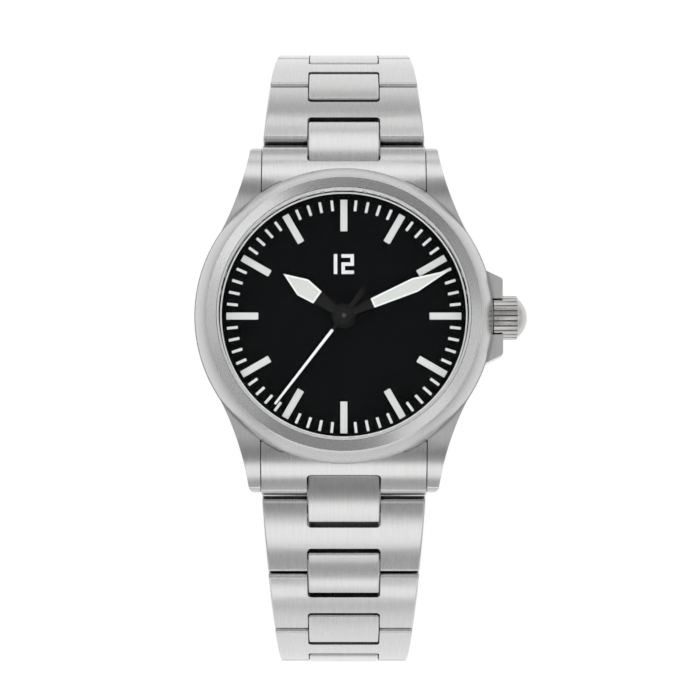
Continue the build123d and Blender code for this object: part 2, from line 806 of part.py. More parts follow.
def crowned_outline(start, end, crown_r_of_top, end_points):
    """Side outline with a top that is a shallow arc, then the points given, end to start."""
    half = (end - start) / 2
    fall = crown_r_of_top - sqrt(crown_r_of_top**2 - half**2)
    middle = (start + end) / 2
    first = (start, link_outer_t - fall)
    last = (end, link_outer_t - fall)
    top = ThreePointArc(first, (middle, link_outer_t), last)
    corners = [last] + end_points + [first]
    lines = [Line(a, b) for a, b in zip(corners, corners[1:])]
    return make_face(Wire([top] + lines))


def soften(solid, least_length):
    """Rounds the two long upper edges at the sides."""
    long_edges = [
        edge for edge in solid.edges()
        if edge.center().Z > link_inner_t / 2 and edge.bounding_box().size.Y > least_length
    ]
    return fillet(long_edges, link_edge_r)


def make_centre_link():
    start = -centre_end
    end = centre_pin_span + centre_end
    outline = crowned_outline(start, end, centre_crown_r, [(end, -link_inner_t), (start, -link_inner_t)])
    outline = fillet(outline.vertices(), link_end_r)
    link = across(outline, centre_w / 2)
    link = soften(link, centre_pin_span)
    for along in (0, centre_pin_span):
        link = link - rod_x(pin_r + pin_fit, -centre_w, centre_w, along)
    return link


arm_end = centre_pin_span / 2 - arm_gap / 2
notch_reach = centre_end + centre_gap


def notch(end, from_end=False):
    """The slot for a centre link, open past the end, with rounded inner corners."""
    width = centre_w + 2 * centre_side_gap
    length = notch_reach + arm_end + overrun + notch_corner_r
    face = RectangleRounded(width, length, notch_corner_r)
    height = 2 * (link_inner_t + link_outer_t)
    shift = length / 2 - notch_reach
    middle = end + shift if from_end else end - shift
    return Pos(0, middle, 0) * extrude(face, height / 2, both=True)


def link_width(count):
    return max(clasp_w, first_link_w - link_taper * count)


def make_outer_link(width_in, width_out, cut_pin):
    """H-link and its two pins, drawn from its first pin."""
    start = -arm_end
    end = outer_pin_span + arm_end
    relief = link_inner_t * tan(radians(arm_relief_angle))
    ends = [(end, 0), (end - relief, -link_inner_t), (start + relief, -link_inner_t), (start, 0)]
    outline = crowned_outline(start, end, outer_crown_r, ends)
    upper = outline.vertices().group_by(Axis.Y)[-1]
    outline = fillet(upper, outer_end_r)
    link = across(outline, first_link_w)
    sides = [(-width_in / 2, start), (width_in / 2, start), (width_out / 2, end), (-width_out / 2, end)]
    height = link_inner_t + link_outer_t
    plan = extrude(make_face(Polyline(*sides, close=True)), height, both=True)
    link = soften(link & plan, outer_pin_span)
    link = link - notch(0) - notch(outer_pin_span, from_end=True)
    pins = []
    for along in (0, outer_pin_span):
        width = width_in + (width_out - width_in) * (along - start) / (end - start)
        half = width / 2 - pin_inset
        link = link - rod_x(pin_r, -width, width, along)
        pin = rod_x(pin_r, -half, half, along)
        if cut_pin and along:
            inner = centre_w / 2 + centre_side_gap
            pin = pin - rod_x(2 * pin_r, -inner, inner, along)
        pins.append(pin)
    return [link] + pins


def make_end_link(side):
    """End link with the bracelet's first pin; its slot takes the first centre link."""
    foot_z = first_pin_z - end_link_nose_r
    back_y = recess_half_y + end_link_back_gap
    fall = atan2(first_pin_y - top_arc_y, first_pin_z - top_arc_z)
    meet = arc_point(end_link_top_r, fall)
    inner_x = sqrt(case_r**2 - (lug_gap / 2) ** 2)
    near = asin((inner_x - top_arc_y) / end_link_top_r)
    half_nose = (fall + radians(180)) / 2
    around = (first_pin_y + end_link_nose_r * sin(half_nose),
              first_pin_z + end_link_nose_r * cos(half_nose))
    halfway = arc_point(end_link_top_r, (near + fall) / 2)
    long_arc = ThreePointArc(arc_point(end_link_top_r, near), halfway, meet)
    nose_arc = ThreePointArc(meet, around, (first_pin_y, foot_z))
    foot_line = Line((first_pin_y, foot_z), (inner_x, foot_z))
    back_line = Line((inner_x, foot_z), arc_point(end_link_top_r, near))
    body = across(make_face(Wire([long_arc, nose_arc, foot_line, back_line])), lug_gap / 2 - end_link_gap)
    wall = disc(case_r + end_link_back_gap, 0, case_top_z)
    wall = wall & block(-case_r, case_r, 0, back_y, 0, case_top_z)
    body = body - wall
    at = place(1, end_link_notch_angle, (first_pin_y, first_pin_z))
    shift = centre_gap - end_link_notch_gap
    slot = at * (Rot(0, 0, 180) * (Pos(0, -shift, 0) * notch(0)))
    body = body - slot
    body = body - rod_x(spring_bar_r + spring_bar_fit, -lug_gap, lug_gap, spring_bar_y, spring_bar_z)
    body = body - rod_x(pin_r, -lug_gap, lug_gap, first_pin_y, first_pin_z)
    half = lug_gap / 2 - end_link_gap - pin_inset
    pin = rod_x(pin_r, -half, half, first_pin_y, first_pin_z)
    pieces = [body, pin]
    return pieces if side > 0 else [mirror(piece, Plane.XZ) for piece in pieces]


def save_bracelet():
    save("end_link_12", *make_end_link(1))
    save("end_link_6", *make_end_link(-1))
    bars = []
    for side in (1, -1):
        half = lug_gap / 2 - end_link_gap
        tip = half + spring_tip_l
        bar = rod_x(spring_bar_r, -half, half, side * spring_bar_y, spring_bar_z)
        bars.append(bar + rod_x(spring_tip_r, -tip, tip, side * spring_bar_y, spring_bar_z))
    save("lug_spring_bars", *bars)
    centre = make_centre_link()
    for name, side, links, angles, pins in (("12", 1, link_count_12, angles_12, pins_12),
                                            ("6", -1, link_count_6, angles_6, pins_6)):
        for count in range(links):
            first, second = 2 * count, 2 * count + 1
            number = str(count + 1)
            at = place(side, angles[first], pins[first])
            save("centre_link_" + name + "_" + number, at * centre)
            at = place(side, angles[second], pins[second])
            last_12 = side > 0 and count == links - 1
            pieces = make_outer_link(link_width(count), link_width(count + 1), last_12)
            save("outer_link_" + name + "_" + number, *[at * piece for piece in pieces])


# Heights and places in the clasp: along it from the first pin, and out from the pins' level
cover_start = arm_end + cover_end_gap
cover_hinge_u = clasp_span - cover_hinge_back
cover_end = cover_hinge_u + cover_far_end
cover_under = link_outer_t + cover_rise - cover_top_t
blade_1_top = cover_under - knuckle_gap
blade_1_low = blade_1_top - blade_t
blade_2_top = blade_1_low - blade_gap
blade_2_low = blade_2_top - blade_t
inner_hinge_w = (blade_1_top + blade_2_low) / 2
cover_hinge_w = blade_1_top - cover_knuckle_r
cover_inner_half = clasp_w / 2 - cover_wall
button_u = cover_hinge_u - button_back
button_w = -button_drop


def make_cover():
    top = link_outer_t + cover_rise
    middle = (cover_start + cover_end) / 2
    arc = ThreePointArc((cover_start, top), (middle, top + cover_crown), (cover_end, top))
    corners = [(cover_end, top), (cover_end, -cover_skirt), (cover_start, -cover_skirt), (cover_start, top)]
    lines = [Line(a, b) for a, b in zip(corners, corners[1:])]
    shell = across(make_face(Wire([arc] + lines)), clasp_w / 2)
    long_edges = [edge for edge in shell.edges()
                  if edge.center().Z > link_outer_t and edge.bounding_box().size.Y > cover_end / 2]
    shell = fillet(long_edges, link_end_r)
    shell = shell - block(-cover_inner_half, cover_inner_half, cover_start - overrun, cover_end + overrun,
                          -cover_skirt - overrun, cover_under)
    lip_u = cover_hinge_u + cover_lip
    shell = shell - block(-cover_inner_half, cover_inner_half, lip_u, cover_end + overrun, 0, 2 * top)
    half = centre_w / 2
    neck_top = cover_under + cover_top_t / 2
    shell += rod_x(tongue_r, -half, half) + block(-half, half, 0, cover_start, -tongue_r, tongue_r)
    shell += block(-half, half, cover_start, cover_start + cover_wall, -tongue_r, neck_top)
    shell = shell - rod_x(pin_r + pin_fit, -clasp_w, clasp_w)
    shell = shell - rod_x(cover_pin_r, -clasp_w, clasp_w, cover_hinge_u, cover_hinge_w)
    shell = shell - rod_x(button_r + button_fit, -clasp_w, clasp_w, button_u, button_w)
    return shell


def make_outer_blade():
    """The blade under the cover, hinged to the cover at one end and to the inner blade at the other."""
    clear_u = inner_hinge_u + blade_knuckle_r + knuckle_clear
    plate = block(-blade_half_w, blade_half_w, inner_hinge_u, cover_hinge_u, blade_1_low, blade_1_top)
    for side in (1, -1):
        near, far = sorted((side * blade_knuckle_half_w, side * (blade_half_w + overrun)))
        plate = plate - block(near, far, 0, clear_u, blade_2_low - overrun, blade_1_top + overrun)
    plate = plate - block(-blade_slot_w / 2, blade_slot_w / 2, clear_u + blade_slot_end,
                          cover_hinge_u - blade_slot_end, blade_2_low, blade_1_top + overrun)
    plate += rod_x(blade_knuckle_r, -blade_knuckle_half_w, blade_knuckle_half_w,
                   inner_hinge_u, inner_hinge_w)
    plate += rod_x(cover_knuckle_r, -blade_half_w, blade_half_w, cover_hinge_u, cover_hinge_w)
    plate = plate - rod_x(clasp_pin_r + pin_fit, -clasp_w, clasp_w, inner_hinge_u, inner_hinge_w)
    return plate - rod_x(cover_pin_r + pin_fit, -clasp_w, clasp_w, cover_hinge_u, cover_hinge_w)


def make_inner_blade():
    """The blade on the wrist's side; its tongue meets the last H-link of the 12 o'clock half."""
    clear_u = inner_hinge_u + blade_knuckle_r + knuckle_clear
    knuckle_x = blade_knuckle_half_w + knuckle_gap
    plate_end = clasp_span - cover_start - blade_end_gap
    plate = block(-blade_half_w, blade_half_w, inner_hinge_u, plate_end, blade_2_low, blade_2_top)
    plate = plate - block(-knuckle_x, knuckle_x, 0, clear_u, blade_2_low - overrun, blade_1_top)
    plate = plate - block(-blade_slot_w / 2, blade_slot_w / 2, clear_u + blade_slot_end,
                          plate_end - 2 * blade_slot_end, blade_2_low - overrun, blade_2_top + overrun)
    for side in (1, -1):
        near, far = sorted((side * knuckle_x, side * blade_half_w))
        plate += rod_x(blade_knuckle_r, near, far, inner_hinge_u, inner_hinge_w)
    half = centre_w / 2
    neck = block(-half, half, plate_end - tongue_r, clasp_span, blade_2_low, blade_2_top)
    tongue = rod_x(tongue_r, -half, half, clasp_span)
    plate = plate + neck + tongue
    plate = plate - rod_x(pin_r + pin_fit, -clasp_w, clasp_w, clasp_span)
    plate = plate - rod_x(clasp_pin_r, -clasp_w, clasp_w, inner_hinge_u, inner_hinge_w)
    pin_half = blade_half_w - knuckle_gap
    return [plate, rod_x(clasp_pin_r, -pin_half, pin_half, inner_hinge_u, inner_hinge_w)]


def make_button(side):
    wall_in = cover_inner_half
    flange_out = wall_in - button_play
    flange_in = flange_out - button_flange_t
    head_in = clasp_w / 2 + button_travel + button_play
    head_out = head_in + button_head_t
    pieces = rod_x(button_flange_r, flange_in, flange_out, button_u, button_w)
    pieces += rod_x(button_r, flange_out, head_in, button_u, button_w)
    pieces += rod_x(button_head_r, head_in, head_out, button_u, button_w)
    return pieces if side > 0 else mirror(pieces, Plane.YZ)


def save_clasp():
    at = place(-1, clasp_angle, clasp_start)
    pin_half = clasp_w / 2 - knuckle_gap
    pin = rod_x(cover_pin_r, -pin_half, pin_half, cover_hinge_u, cover_hinge_w)
    save("clasp_cover", at * make_cover(), at * pin)
    save("clasp_outer_blade", at * make_outer_blade())
    save("clasp_inner_blade", *[at * piece for piece in make_inner_blade()])
    save("push_button_crown_side", at * make_button(-1))
    save("push_button_far_side", at * make_button(1))


def clasp_point(along, out):
    """A point of the clasp's own frame, in the watch's Y and Z."""
    ahead = direction(-1, clasp_angle)
    up = normal(-1, clasp_angle)
    return clasp_start[0] + along * ahead[0] + out * up[0], clasp_start[1] + along * ahead[1] + out * up[1]


os.makedirs("parts", exist_ok=True)
save_case()
save_dial()
save_hands()
save_wheels()
save_movement()
save_crown()
save_bracelet()
save_clasp()

print("turn behind the wrist", round(turn_behind, 3), "clasp angle", round(clasp_angle, 3))
print("pins at 12", [(round(y, 3), round(z, 3)) for y, z in pins_12])
print("pins at 6", [(round(y, 3), round(z, 3)) for y, z in pins_6])
print("inner hinge", clasp_point(inner_hinge_u, inner_hinge_w), "cover hinge",
      clasp_point(cover_hinge_u, cover_hinge_w))
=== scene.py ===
"""Looks of a steel field watch: its bezel, crystal, dial, hands, crown and bracelet, and the studio."""
import json
from math import atan2, cos, hypot, pi, radians, sin

import bpy
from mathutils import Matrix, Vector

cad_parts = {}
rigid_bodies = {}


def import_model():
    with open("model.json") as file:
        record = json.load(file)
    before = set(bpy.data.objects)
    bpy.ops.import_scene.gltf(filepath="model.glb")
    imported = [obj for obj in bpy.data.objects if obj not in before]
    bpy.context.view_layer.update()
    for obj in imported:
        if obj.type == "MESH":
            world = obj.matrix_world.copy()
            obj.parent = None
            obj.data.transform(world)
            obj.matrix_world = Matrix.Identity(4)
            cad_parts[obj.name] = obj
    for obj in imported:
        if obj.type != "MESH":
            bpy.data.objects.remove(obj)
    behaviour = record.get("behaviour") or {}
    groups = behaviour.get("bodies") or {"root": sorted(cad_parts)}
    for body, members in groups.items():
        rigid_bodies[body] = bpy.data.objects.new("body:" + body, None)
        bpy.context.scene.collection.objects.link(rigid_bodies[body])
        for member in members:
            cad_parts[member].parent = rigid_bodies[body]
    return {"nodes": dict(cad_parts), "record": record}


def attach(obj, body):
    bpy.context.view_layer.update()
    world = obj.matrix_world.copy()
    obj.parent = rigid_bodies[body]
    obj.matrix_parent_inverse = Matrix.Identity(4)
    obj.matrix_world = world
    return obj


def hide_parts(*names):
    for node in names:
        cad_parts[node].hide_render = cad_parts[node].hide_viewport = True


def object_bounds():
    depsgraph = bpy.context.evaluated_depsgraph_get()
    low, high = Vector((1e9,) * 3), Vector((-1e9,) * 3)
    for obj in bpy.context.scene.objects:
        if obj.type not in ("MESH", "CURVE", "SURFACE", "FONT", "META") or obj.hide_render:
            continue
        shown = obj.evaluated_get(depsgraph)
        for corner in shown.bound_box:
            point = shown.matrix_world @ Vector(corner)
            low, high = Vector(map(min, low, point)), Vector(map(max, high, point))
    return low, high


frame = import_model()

cad_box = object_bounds()
nodes = frame["nodes"]
mm = 0.001

# Sizes that the part has too, in millimetres. A hand's stations are distances from the middle and widths
case_top_z = 7.2
dial_z = 6.2
rehaut_top_z = 8.2
bezel_top_z = 10.0
bezel_r = 17.8
bezel_foot_h = 0.2
bezel_edge_r = 16.4
bezel_edge_drop = 0.3
bezel_bulge = 0.12
bezel_bore_r = 15.15
gasket_w = 0.3
gasket_top_z = 9.65
crystal_top_z = 10.15
rehaut_foot_r = 14.75
marker_outer_r = 14.1
marker_l = 3.83
marker_w = 0.85
marker_t = 0.22
hour_hand_stations = [(3.85, 1.75), (6.0, 2.3), (8.86, 0)]
minute_hand_stations = [(3.74, 1.2), (9.3, 1.75), (13.9, 0)]
hour_hand_z = 6.55
minute_hand_z = 6.95
seconds_hand_z = 7.35
seconds_hand_l = 13.46
seconds_tail_l = 4.0
hand_t = 0.2
hand_frame_w = 0.22
hour_hand_angle = 304.9
minute_hand_angle = 66.7
seconds_hand_angle = 217.6
crown_z = 4.35
crown_x = 17.9
crown_r = 2.65
back_gasket_r = 14.7
back_gasket_half_w = 0.3
back_gasket_bottom_z = 1.6
back_gasket_h = 0.5

# Finer forms that only the pieces here have
crystal_chamfer = 0.04
crystal_rim_w = 3 * crystal_chamfer
bezel_flank_steps = 6
seat_inner_r = 14.87
seat_gap = 0.03
seat_drop = 0.03
highlight_line_w = 0.14
highlight_line_drop = 0.07
rehaut_r = 14.58
rehaut_lip_h = 0.2
groove_inner_r = 14.775
groove_outer_r = 14.86
groove_depth = 0.15
groove_floor_t = 0.02
lip_drop = 0.03
filling_share = 0.8
stem_start_share = 0.6
root_drop = 0.01
hub_rise = 0.02
seconds_hub_r = 1.05
seconds_bore_r = 0.25
seconds_root_l = 2.2
crown_knurl_l = 3.06
crown_dome_h = 1.12
crown_dome_steps = 10
crown_flutes = 26
crown_flute_depth = 0.17
crown_flute_sides = 6
flute_half_sides = 0.6
flute_slack = 0.05
flute_reach = 0.1
flute_start_z = 0.22
flute_end_l = 0.2
crown_foot_in = 0.12
crown_foot_h = 0.1
knurl_round_in = 0.06
knurl_round_l = 0.1
knurl_end_in = 0.28
dome_foot_in = 0.33

# Painted shade on steel in gaps: the share of open sky at which the painted shade is darkest, and from which
# there is none
darkest_opening = 0.15
clear_opening = 0.8

# Floor, its lengths in metres: a painted pool of light, its glow white round the watch and pale grey further
# out
floor_r = 2.5
floor_sides = 96
floor_gap = 0.0002
glow_pool_middle_y = 0.025
glow_pool_r = 0.085
glow_fade_r = 0.32
glow_fade_level = 0.55
glow_strength = 1.12
glow_share = 0.75

# Camera: its lean, its distance from the dial in millimetres, and the dial's middle in the picture
camera_lean = radians(6.2)
camera_distance = 335
picture_px = 700
px_per_mm = 8.33
dial_middle_px = (343.85, 316.3)

# How the pieces are modelled, lengths in millimetres
weld_reach = 0.0005
pick_slack = 0.01
round_sides = 180
hub_sides = 72
smooth_angle = radians(35)
flatness_weight = 80


def deselect():
    bpy.ops.object.select_all(action="DESELECT")


def open_piece(name):
    """Names the new primitive and opens it for editing, all of it selected."""
    piece = bpy.context.object
    piece.name = name
    piece.data.name = name
    bpy.ops.object.transform_apply(location=True, rotation=True, scale=True)
    bpy.ops.object.mode_set(mode="EDIT")
    bpy.ops.mesh.select_all(action="SELECT")
    return piece


def pick(piece, kind, test):
    """Selects the vertices or the edges whose middle passes the test."""
    bpy.ops.mesh.select_mode(type=kind)
    bpy.ops.mesh.select_all(action="DESELECT")
    bpy.ops.object.mode_set(mode="OBJECT")
    mesh = piece.data
    if kind == "VERT":
        for vertex in mesh.vertices:
            vertex.select = test(vertex.co / mm)
    else:
        for edge in mesh.edges:
            ends = [mesh.vertices[index].co for index in edge.vertices]
            edge.select = test((ends[0] + ends[1]) / (2 * mm))
    bpy.ops.object.mode_set(mode="EDIT")


def move(x, y, z):
    bpy.ops.transform.translate(value=(x * mm, y * mm, z * mm))


def close_piece(piece, edge_width, edge_steps=2):
    """Tidies the mesh, rounds its sharp edges and smooths what is left."""
    bpy.ops.mesh.select_mode(type="VERT")
    bpy.ops.mesh.select_all(action="SELECT")
    bpy.ops.mesh.remove_doubles(threshold=weld_reach * mm)
    bpy.ops.mesh.normals_make_consistent(inside=False)
    bpy.ops.object.mode_set(mode="OBJECT")
    deselect()
    piece.select_set(True)
    bpy.context.view_layer.objects.active = piece
    if edge_width:
        bevel = piece.modifiers.new("edges", "BEVEL")
        bevel.width = edge_width * mm
        bevel.segments = edge_steps
        bevel.limit_method = "ANGLE"
        bevel.angle_limit = smooth_angle
        bpy.ops.object.modifier_apply(modifier=bevel.name)
    bpy.ops.object.shade_smooth_by_angle(angle=smooth_angle)
    if edge_width:
        flats = piece.modifiers.new("flats", "WEIGHTED_NORMAL")
        flats.weight = flatness_weight
        flats.keep_sharp = True
        bpy.ops.object.modifier_apply(modifier=flats.name)
    return piece


def fit(piece, body, slot, material, *replaced):
    """Sets a finished piece in its place on a body."""
    piece.data.materials.clear()
    piece.data.materials.append(material)
    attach(piece, body)
    if replaced:
        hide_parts(*replaced)


def joined(first, others):
    deselect()
    for other in others:
        other.select_set(True)
    first.select_set(True)
    bpy.context.view_layer.objects.active = first
    bpy.ops.object.join()
    return first


def wind(name, outline, sides=round_sides, closed=True):
    """Winds a ring about the upright axis: the outline's radius and height pairs, one loop each."""
    deselect()
    first_r, first_z = outline[0]
    bpy.ops.mesh.primitive_circle_add(vertices=sides, radius=first_r * mm, location=(0, 0, first_z * mm))
    piece = open_piece(name)
    following = outline[1:] + outline[:1] if closed else outline[1:]
    for (r0, z0), (r1, z1) in zip(outline, following):
        bpy.ops.mesh.extrude_region_move()
        share = r1 / r0
        bpy.ops.transform.resize(value=(share, share, 1), center_override=(0, 0, z0 * mm))
        move(0, 0, z1 - z0)
    if not closed:
        bpy.ops.mesh.edge_face_add()
    return piece


def arc(start, end, bulge, steps):
    """Points of a shallow curve from start to end that stands out to the right by the bulge."""
    run, rise = end[0] - start[0], end[1] - start[1]
    length = hypot(run, rise)
    points = []
    for step in range(steps + 1):
        share = step / steps
        out = 4 * bulge * share * (1 - share)
        points.append((start[0] + share * run + out * rise / length,
                       start[1] + share * rise - out * run / length))
    return points


# Finishes


def new_finish(name):
    material = bpy.data.materials.new(name)
    material.use_nodes = True
    material.node_tree.nodes.clear()
    return material, material.node_tree


def add(tree, kind, inputs=None, **settings):
    """Adds a node. An input takes a plain value or another node's output."""
    made = tree.nodes.new(kind)
    for key, value in settings.items():
        setattr(made, key, value)
    for key, value in (inputs or {}).items():
        if isinstance(value, bpy.types.NodeSocket):
            tree.links.new(value, made.inputs[key])
        else:
            made.inputs[key].default_value = value
    return made


def vector_math(tree, operation, first, second=None):
    inputs = {0: first} if second is None else {0: first, 1: second}
    return add(tree, "ShaderNodeVectorMath", inputs, operation=operation)


def spread(tree, value, low, high, start=0.0, end=1.0):
    """Turns a pattern's 0 to 1 into a range."""
    made = add(tree, "ShaderNodeMapRange", {"Value": value, "From Min": start, "From Max": end,
                                            "To Min": low, "To Max": high})
    return made.outputs["Result"]


def tones(tree, value, dark, light, start=0.3, end=0.7):
    ramp = add(tree, "ShaderNodeValToRGB", {"Fac": value})
    first, last = ramp.color_ramp.elements
    first.position, first.color = start, dark + (1.0,)
    last.position, last.color = end, light + (1.0,)
    return ramp.outputs["Color"]


def grain(tree, vector, scale, detail, roughness):
    made = add(tree, "ShaderNodeTexNoise", {"Vector": vector, "Scale": scale, "Detail": detail,
                                            "Roughness": roughness})
    return made.outputs["Fac"]


def relief(tree, height, depth, strength, normal=None):
    inputs = {"Height": height, "Distance": depth * mm, "Strength": strength}
    if normal is not None:
        inputs["Normal"] = normal
    return add(tree, "ShaderNodeBump", inputs).outputs["Normal"]


def object_place(tree):
    return add(tree, "ShaderNodeTexCoord").outputs["Object"]


def end_with(tree, shader):
    add(tree, "ShaderNodeOutputMaterial", {"Surface": shader})


def painted_gap_shade(tree, colour, reach, least):
    """Paints shade into the steel's colour in the slots and gaps between pieces, darker where less sky is
    open.
    """
    open_sky = add(tree, "ShaderNodeAmbientOcclusion", {"Distance": reach * mm}, samples=8).outputs["AO"]
    share = spread(tree, open_sky, least, 1.0, darkest_opening, clear_opening)
    return add(tree, "ShaderNodeVectorMath", {0: colour, "Scale": share}, operation="SCALE").outputs["Vector"]


def soft_edge(tree, radius):
    return add(tree, "ShaderNodeBevel", {"Radius": radius * mm}, samples=4).outputs["Normal"]


# Where a brushed pattern turns from its dark tone to its light one
brush_tones = (0.36, 0.64)

# Leans a little, so that the links' side faces have a direction too
across_bracelet = (1.0, 0.0, 0.05)


def straight_brush(name, dark, light, rough, edge=0.07, coarse=1.0, fine=1.0):
    """Steel brushed along the bracelet: fine strokes along the links, which spread light across them."""
    material, tree = new_finish(name)
    place = object_place(tree)
    long_streaks = add(tree, "ShaderNodeMapping", {"Vector": place, "Scale": (9000 * coarse, 260, 260)})
    short_streaks = add(tree, "ShaderNodeMapping", {"Vector": place, "Scale": (17000 * fine, 900, 900)})
    streaks = grain(tree, long_streaks.outputs["Vector"], 1.0, 3.0, 0.6)
    hairs = grain(tree, short_streaks.outputs["Vector"], 1.0, 2.0, 0.5)
    both = add(tree, "ShaderNodeMath", {0: streaks, 1: hairs}, operation="ADD")
    half = add(tree, "ShaderNodeMath", {0: both.outputs[0], 1: 0.5}, operation="MULTIPLY").outputs[0]
    facing = add(tree, "ShaderNodeNewGeometry").outputs["Normal"]
    along = vector_math(tree, "CROSS_PRODUCT", facing, across_bracelet).outputs["Vector"]
    sideways = vector_math(tree, "CROSS_PRODUCT", along, facing).outputs["Vector"]
    shader = add(tree, "ShaderNodeBsdfPrincipled", {
        # The base colour carries painted shade in the slots and gaps
        "Base Color": painted_gap_shade(tree, tones(tree, half, dark, light, *brush_tones), 0.7, 0.12),
        "Metallic": 1.0,
        "Roughness": spread(tree, hairs, rough - 0.03, rough + 0.03, 0.3, 0.7),
        "Anisotropic": 0.9,
        "Tangent": sideways,
        "Normal": relief(tree, half, 0.0012, 0.3, soft_edge(tree, edge)),
    })
    end_with(tree, shader.outputs["BSDF"])
    return material


def round_brush(name, dark, light, rough, spreading, edge=0.0):
    """Steel brushed round and round the watch's axis."""
    material, tree = new_finish(name)
    place = object_place(tree)
    flat = vector_math(tree, "MULTIPLY", place, (1.0, 1.0, 0.0)).outputs["Vector"]
    outward = vector_math(tree, "NORMALIZE", flat).outputs["Vector"]
    radius = vector_math(tree, "LENGTH", flat).outputs["Value"]
    upright = add(tree, "ShaderNodeSeparateXYZ", {"Vector": place}).outputs["Z"]
    path = add(tree, "ShaderNodeMath", {0: radius, 1: upright}, operation="SUBTRACT").outputs[0]
    layers = []
    for turns, rings in ((5.0, 9000.0), (16.0, 17000.0)):
        around = add(tree, "ShaderNodeVectorMath", {0: outward, "Scale": turns}, operation="SCALE")
        count = add(tree, "ShaderNodeMath", {0: path, 1: rings}, operation="MULTIPLY").outputs[0]
        rise = add(tree, "ShaderNodeCombineXYZ", {"Z": count}).outputs["Vector"]
        grooves = vector_math(tree, "ADD", around.outputs["Vector"], rise).outputs["Vector"]
        layers.append(grain(tree, grooves, 1.0, 2.0, 0.55))
    both = add(tree, "ShaderNodeMath", {0: layers[0], 1: layers[1]}, operation="ADD")
    half = add(tree, "ShaderNodeMath", {0: both.outputs[0], 1: 0.5}, operation="MULTIPLY").outputs[0]
    inputs = {
        # The base colour carries painted shade in the gaps
        "Base Color": painted_gap_shade(tree, tones(tree, half, dark, light, *brush_tones), 1.0, 0.05),
        "Metallic": 1.0,
        "Roughness": spread(tree, layers[1], rough - 0.02, rough + 0.02, 0.3, 0.7),
        "Anisotropic": spreading,
        "Tangent": outward,
    }
    smooth = soft_edge(tree, edge) if edge else None
    inputs["Normal"] = relief(tree, half, 0.001, 0.2, smooth)
    end_with(tree, add(tree, "ShaderNodeBsdfPrincipled", inputs).outputs["BSDF"])
    return material


def plain_metal(name, colour, rough, mottle, size, painted_shade_reach=0.0):
    """Polished, turned or blasted metal: a faint mottle in tone and gloss, and painted shade in its gaps
    where a reach is given.
    """
    material, tree = new_finish(name)
    pattern = grain(tree, object_place(tree), size, 4.0, 0.6)
    dark = tuple(channel * (1 - mottle) for channel in colour)
    light = tuple(min(1.0, channel * (1 + mottle)) for channel in colour)
    surface = tones(tree, pattern, dark, light)
    if painted_shade_reach:
        # Painted shade in the gaps, darkening the colour where little sky is open
        surface = painted_gap_shade(tree, surface, painted_shade_reach, 0.10)
    shader = add(tree, "ShaderNodeBsdfPrincipled", {
        "Base Color": surface,
        "Metallic": 1.0,
        "Roughness": spread(tree, pattern, rough * 0.85, rough * 1.2, 0.3, 0.7),
        "Normal": relief(tree, pattern, 0.001, 0.2),
    })
    end_with(tree, shader.outputs["BSDF"])
    return material


def paint(name, colour, rough, mottle, size, depth, gloss):
    """Paint, print, luminous filling, rubber or plastic: fine grain in colour, roughness and height."""
    material, tree = new_finish(name)
    pattern = grain(tree, object_place(tree), size, 3.0, 0.6)
    dark = tuple(channel * (1 - mottle) for channel in colour)
    light = tuple(min(1.0, channel * (1 + mottle)) for channel in colour)
    shader = add(tree, "ShaderNodeBsdfPrincipled", {
        "Base Color": tones(tree, pattern, dark, light),
        "Roughness": spread(tree, pattern, rough * 0.9, min(1.0, rough * 1.1), 0.3, 0.7),
        "Specular IOR Level": gloss,
        "Normal": relief(tree, pattern, depth, 0.4),
    })
    end_with(tree, shader.outputs["BSDF"])
    return material


def clear_glass(name):
    """Coated sapphire, with hardly a mirror on it; lamps reach what is behind it."""
    material, tree = new_finish(name)
    smudge = grain(tree, object_place(tree), 90.0, 3.0, 0.5)
    glass = add(tree, "ShaderNodeBsdfPrincipled", {
        "Base Color": tones(tree, smudge, (0.985, 0.99, 0.99), (1.0, 1.0, 1.0)),
        "Roughness": 0.0,
        "IOR": 1.06,
        "Transmission Weight": 1.0,
    })
    rays = add(tree, "ShaderNodeLightPath").outputs["Is Shadow Ray"]
    open_way = add(tree, "ShaderNodeBsdfTransparent", {"Color": (0.97, 0.97, 0.97, 1.0)})
    mixed = add(tree, "ShaderNodeMixShader", {0: rays, 1: glass.outputs["BSDF"], 2: open_way.outputs["BSDF"]})
    end_with(tree, mixed.outputs["Shader"])
    return material


bracelet_steel = straight_brush("bracelet_steel", (0.585, 0.585, 0.585), (0.665, 0.665, 0.66), 0.30)
case_steel = straight_brush("case_steel", (0.59, 0.59, 0.59), (0.66, 0.66, 0.655), 0.32, 0.07, 0.8, 0.8)
clasp_steel = straight_brush("clasp_steel", (0.585, 0.585, 0.585), (0.665, 0.665, 0.66), 0.30, 0.06)
bezel_steel = round_brush("bezel_steel", (0.59, 0.59, 0.59), (0.635, 0.635, 0.63), 0.27, 0.60)
back_steel = round_brush("back_steel", (0.57, 0.57, 0.57), (0.66, 0.66, 0.655), 0.32, 0.7, 0.06)
polished_steel = plain_metal("polished_steel", (0.80, 0.80, 0.79), 0.06, 0.02, 400.0)
